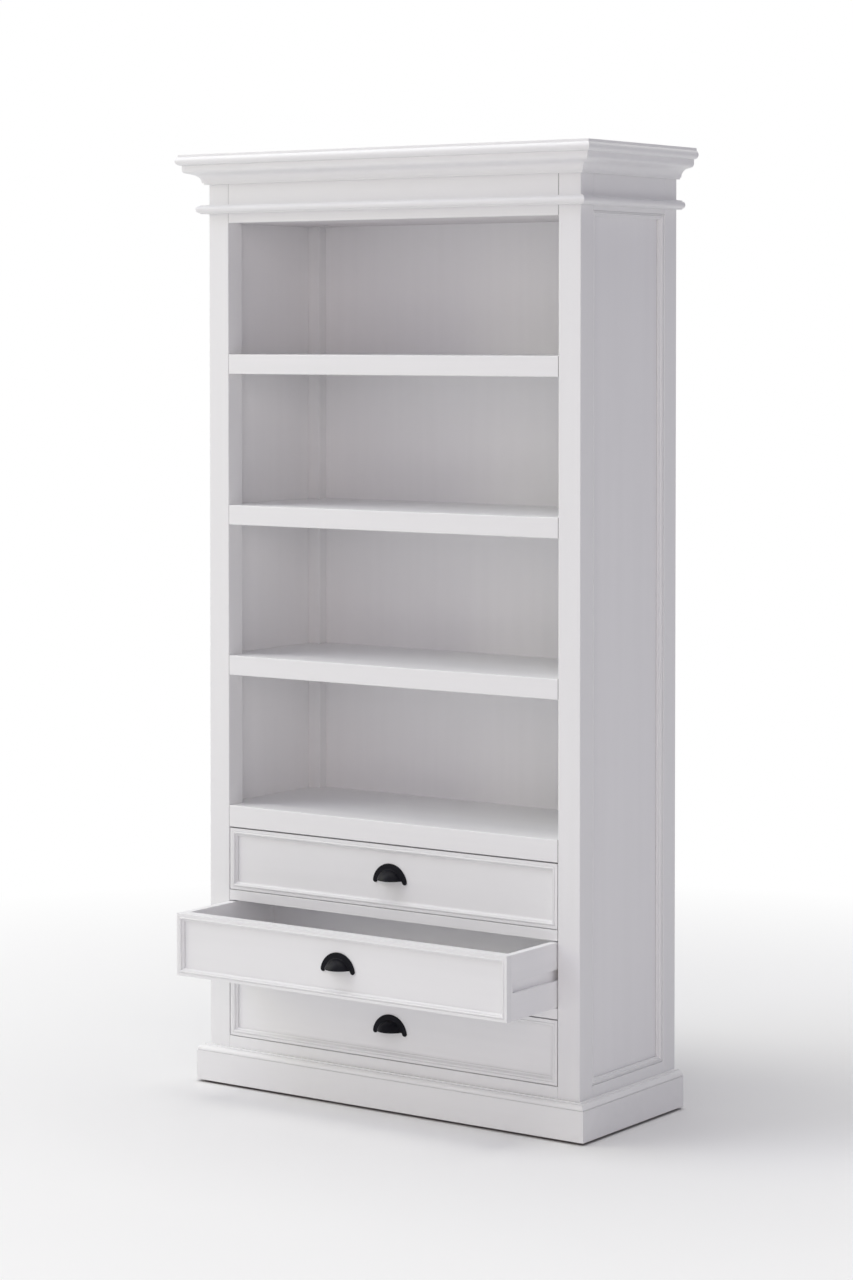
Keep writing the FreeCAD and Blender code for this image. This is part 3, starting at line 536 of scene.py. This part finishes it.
# ---------------------------------------------------------------- drawers
# Each drawer is a front board rebated over two sides, with a back between them and a thin bottom in grooves.
# The box is sprayed with the same white, thinner and flatter than the coat outside.
DRAWERS = ("upper_drawer", "middle_drawer", "lower_drawer")
box_paint_deep = satin_paint("drawer_box_paint_deep", "deep", PANEL_WHITE, 0.52)
box_paint_across = satin_paint("drawer_box_paint_across", "across", PANEL_WHITE, 0.52)
for drawer in DRAWERS:
    joinery(drawer + "_front", across_paint)
    joinery(drawer + "_side_left", box_paint_deep)
    joinery(drawer + "_side_right", box_paint_deep)
    joinery(drawer + "_back", box_paint_across)
    joinery(drawer + "_bottom", box_paint_across)


# ---------------------------------------------------------------- bead mouldings on the drawer fronts
# A flat, a round bead and a cove run on one 8 mm strip of softwood, planted on the face of each front. Four
# lengths are mitred at the corners and pinned, with the flat along the front's outer edge.
drawer_bead_section = ([(0, 0), (0, 7.2), (6, 7.2)] + bow(8.5, 5.5, 2.5, 180, 0, 12) + [(11.8, 5.5)]
                       + bow(15.8, 6.3, 4, 180, 270, 8) + [(15.8, 0.4), (13.8, 0.4), (13.8, 0)])
beading_paint = satin_paint("beading_paint", "across", gloss=0.38)
for drawer in DRAWERS:
    low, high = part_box(drawer + "_moulding")
    beading = made_by(bead_round, drawer + "_beading", outline("drawer_bead_section", drawer_bead_section),
                      Width=high.x - low.x, Height=high.z - low.z, Turn=(math.pi / 2, 0, 0),
                      Place=(low.x, high.y, low.z), Finish=beading_paint)
    softened(beading, BEAD_EDGE, 1)
    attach(beading, drawer)
    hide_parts(drawer + "_moulding")


# ---------------------------------------------------------------- cup pulls
# A half-dome cup on a flange with two round lobes, sand cast in iron and finished with satin black enamel,
# so every corner is soft and the skin keeps a faint casting texture.
CASTING_GRAIN = 0.0006


def black_enamel(tree, place, shader):
    cast = node(tree, "ShaderNodeTexNoise", {"Vector": place, "Scale": 700.0, "Detail": 4.0,
                                             "Roughness": 0.6})
    pits = node(tree, "ShaderNodeTexVoronoi", {"Vector": place, "Scale": 420.0})
    rubbed = node(tree, "ShaderNodeTexNoise", {"Vector": place, "Scale": 90.0, "Detail": 3.0})
    shade = node(tree, "ShaderNodeMix", {"Factor": rubbed[0], 6: (0.002, 0.002, 0.004, 1),
                                         7: (0.006, 0.006, 0.010, 1)}, data_type="RGBA")
    sheen = node(tree, "ShaderNodeMapRange", {"Value": rubbed[0], "To Min": 0.34, "To Max": 0.50})
    skin = node(tree, "ShaderNodeMath", {0: cast[0], 1: pits[0]}, operation="ADD")
    relief = node(tree, "ShaderNodeBump", {"Height": skin[0], "Strength": 0.18, "Distance": 0.0003})
    tree.links.new(shade[2], shader.inputs["Base Color"])
    tree.links.new(sheen[0], shader.inputs["Roughness"])
    tree.links.new(relief[0], shader.inputs["Normal"])
    shader.inputs["Specular IOR Level"].default_value = 0.12


cast_black = surface("satin_black_enamel", black_enamel)
for drawer in DRAWERS:
    solid = frame["nodes"][drawer + "_pull"]
    casting = mesh_of(drawer + "_cup_pull", [corner.co for corner in solid.data.vertices],
                      faces=[face.vertices for face in solid.data.polygons])
    casting.materials.append(cast_black)
    pull = put_in_scene(drawer + "_cup_pull", casting)
    skin = pull.modifiers.new("casting_skin", "REMESH")
    skin.mode = "VOXEL"
    skin.voxel_size = CASTING_GRAIN
    fettled = pull.modifiers.new("fettled", "SMOOTH")
    fettled.iterations = 4
    fettled.factor = 0.5
    settled = pull.evaluated_get(bpy.context.evaluated_depsgraph_get())
    result = bpy.data.meshes.new_from_object(settled)
    pull.modifiers.clear()
    pull.data = result
    pull.data.shade_smooth()
    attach(pull, drawer)
    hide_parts(drawer + "_pull")


# ---------------------------------------------------------------- pull screws
# Two zinc-plated pan-head machine screws with cross recesses for each pull. They are driven from inside the
# drawer, through its front board, into bosses in the casting.
SCREW_SPACING, SCREW_HEAD_RADIUS, SCREW_HEAD_HEIGHT, SCREW_SHANK_RADIUS = 0.036, 0.004, 0.0024, 0.002
SCREW_SIDES, HEAD_RINGS, DOME_FALL = 32, 12, 0.42
RECESS_HALF_WIDTH, RECESS_REACH, RECESS_DEPTH, RECESS_TIP = 0.00055, 0.0022, 0.0012, 0.0014


def zinc_plate(tree, place, shader):
    bloom = node(tree, "ShaderNodeTexNoise", {"Vector": place, "Scale": 260.0, "Detail": 4.0})
    shade = node(tree, "ShaderNodeMix", {"Factor": bloom[0], 6: (0.52, 0.53, 0.55, 1),
                                         7: (0.70, 0.71, 0.72, 1)}, data_type="RGBA")
    sheen = node(tree, "ShaderNodeMapRange", {"Value": bloom[0], "To Min": 0.26, "To Max": 0.44})
    tree.links.new(shade[2], shader.inputs["Base Color"])
    tree.links.new(sheen[0], shader.inputs["Roughness"])
    shader.inputs["Metallic"].default_value = 1.0


def pan_head_screw(length):
    """A screw along Z: its domed head with a cross recess stands above zero and its shank hangs below."""
    sides, rings = SCREW_SIDES, HEAD_RINGS
    corners, faces = [], []
    for ring in range(rings, 0, -1):
        radius = SCREW_HEAD_RADIUS * ring / rings
        for side in range(sides):
            angle = 2 * math.pi * side / sides
            x, y = radius * math.cos(angle), radius * math.sin(angle)
            dome = SCREW_HEAD_HEIGHT * (1 - DOME_FALL * (ring / rings) ** 4)
            arm = min(abs(x), abs(y)) < RECESS_HALF_WIDTH and radius < RECESS_REACH
            corners.append((x, y, dome - (RECESS_DEPTH if arm else 0)))
    corners.append((0, 0, SCREW_HEAD_HEIGHT - RECESS_TIP))
    for ring in range(rings - 1):
        for side in range(sides):
            beside = (side + 1) % sides
            faces.append((ring * sides + side, ring * sides + beside,
                          (ring + 1) * sides + beside, (ring + 1) * sides + side))
    inner = (rings - 1) * sides
    faces += [(inner + side, inner + (side + 1) % sides, len(corners) - 1) for side in range(sides)]
    rim = list(range(sides))
    for radius, height in ((SCREW_HEAD_RADIUS, 0), (SCREW_SHANK_RADIUS, 0), (SCREW_SHANK_RADIUS, -length)):
        ring = [len(corners) + side for side in range(sides)]
        corners += [(radius * math.cos(2 * math.pi * side / sides),
                     radius * math.sin(2 * math.pi * side / sides), height) for side in range(sides)]
        faces += [(rim[(side + 1) % sides], rim[side], ring[side], ring[(side + 1) % sides])
                  for side in range(sides)]
        rim = ring
    faces.append(tuple(reversed(rim)))
    return mesh_of("pan_head_screw", corners, faces=faces)


zinc = surface("zinc_plated_steel", zinc_plate)
for drawer in DRAWERS:
    low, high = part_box(drawer + "_pull_screws")
    screw = pan_head_screw(high.y - low.y - SCREW_HEAD_HEIGHT)
    seat = Vector((-SCREW_SPACING / 2, high.y - SCREW_HEAD_HEIGHT, (low.z + high.z) / 2))
    screw.transform(Matrix.Translation(seat) @ Matrix.Rotation(-math.pi / 2, 4, "X"))
    screws = made_by(set_out, drawer + "_screws", screw, Count=2, Step=(SCREW_SPACING, 0, 0), Rows=1,
                     RowStep=(0, 0, 0), Finish=zinc)
    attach(screws, drawer)
    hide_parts(drawer + "_pull_screws")


# ---------------------------------------------------------------- floor, lamps and camera
# A plain white studio floor that runs out into white, with broad lamps far off: overhead, high and low at the
# left, and a weaker one at the front right.
FLOOR_RADIUS, FLOOR_THICKNESS, FLOOR_SIDES = 16.0, 0.01, 96
WHITE_FROM, WHITE_BY = 0.52, 2.6
LAMPS_AIM = Vector((0, 0, 0.9))
CAMERA_DIP, CAMERA_TURN = 0.02918, 0.61566


def shown_as_white(tree):
    """1 for rays that should see the white studio itself: camera, glossy and transmission rays."""
    ray = node(tree, "ShaderNodeLightPath")
    either = node(tree, "ShaderNodeMath", {0: ray["Is Camera Ray"], 1: ray["Is Glossy Ray"]},
                  operation="MAXIMUM")
    return node(tree, "ShaderNodeMath", {0: either[0], 1: ray["Is Transmission Ray"]},
                operation="MAXIMUM")[0]


def studio_floor():
    material = bpy.data.materials.new("studio_floor")
    material.use_nodes = True
    tree = material.node_tree
    shader = tree.nodes["Principled BSDF"]
    place = node(tree, "ShaderNodeTexCoord")["Object"]
    mottle = node(tree, "ShaderNodeTexNoise", {"Vector": place, "Scale": 3.0, "Detail": 3.0})
    tone = node(tree, "ShaderNodeMix", {"Factor": mottle[0], 6: (0.895, 0.895, 0.895, 1),
                                        7: (0.905, 0.905, 0.905, 1)}, data_type="RGBA")
    tree.links.new(tone[2], shader.inputs["Base Color"])
    shader.inputs["Roughness"].default_value = 0.8
    shader.inputs["Specular IOR Level"].default_value = 0.1
    away = node(tree, "ShaderNodeVectorMath", {0: place}, operation="LENGTH")
    fade = node(tree, "ShaderNodeMapRange", {"Value": away["Value"], "From Min": WHITE_FROM,
                                             "From Max": WHITE_BY})
    white = node(tree, "ShaderNodeEmission", {"Color": (1, 1, 1, 1), "Strength": 1.0})
    share = node(tree, "ShaderNodeMath", {0: fade[0], 1: shown_as_white(tree)}, operation="MULTIPLY")
    mixed = node(tree, "ShaderNodeMixShader", {0: share[0], 1: shader.outputs[0], 2: white[0]})
    tree.links.new(mixed[0], tree.nodes["Material Output"].inputs["Surface"])
    return material


floor_mesh = turned("studio_floor", [(0, -FLOOR_THICKNESS), (FLOOR_RADIUS, -FLOOR_THICKNESS),
                                     (FLOOR_RADIUS, 0), (0, 0)], FLOOR_SIDES)
floor_mesh.materials.append(studio_floor())
floor = put_in_scene("studio_floor", floor_mesh)
floor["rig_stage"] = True

world = bpy.data.worlds.new("white_studio")
world.use_nodes = True
bpy.context.scene.world = world
sky = world.node_tree
around = sky.nodes["Background"]
around.inputs["Color"].default_value = (0.85, 0.85, 1.0, 1)
around.inputs["Strength"].default_value = 0.285
behind = node(sky, "ShaderNodeBackground", {"Color": (1, 1, 1, 1), "Strength": 1.0})
seen = node(sky, "ShaderNodeMixShader", {0: shown_as_white(sky), 1: around.outputs[0], 2: behind[0]})
sky.links.new(seen[0], sky.nodes["World Output"].inputs["Surface"])


def soft_lamp(name, place, width, watts, colour):
    """A square lamp with a soft edge, aimed at the middle of the case and unseen by the camera."""
    lamp = bpy.data.lights.new(name, "AREA")
    lamp.shape = "SQUARE"
    lamp.size = width
    lamp.energy = watts
    lamp.color = colour
    stand = bpy.data.objects.new(name, lamp)
    stand.location = place
    stand.rotation_euler = (LAMPS_AIM - Vector(place)).to_track_quat("-Z", "Y").to_euler()
    stand.visible_camera = False
    bpy.context.scene.collection.objects.link(stand)


soft_lamp("ceiling_lamp", (0, 0, 9.0), 5.0, 300, (1.0, 0.99, 0.92))
soft_lamp("left_high_lamp", (-5.0, -4.0, 7.5), 5.0, 250, (0.90, 0.91, 1.0))
soft_lamp("left_lamp", (-6.5, -3.5, 3.5), 4.0, 158, (1.0, 1.0, 0.78))
soft_lamp("front_right_lamp", (4.5, -7.0, 2.5), 4.0, 104, (1.0, 0.88, 0.84))

camera = bpy.data.cameras.new("camera")
camera.lens = 92.042
camera.sensor_width = 36
camera.shift_y = -0.165
stand = bpy.data.objects.new("camera", camera)
stand.location = (3.7773, -5.3823, 1.5368)
stand.rotation_euler = (math.pi / 2 - CAMERA_DIP, 0, CAMERA_TURN)
bpy.context.scene.collection.objects.link(stand)
bpy.context.scene.camera = stand
bpy.context.scene.view_settings.view_transform = "Standard"

low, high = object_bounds()
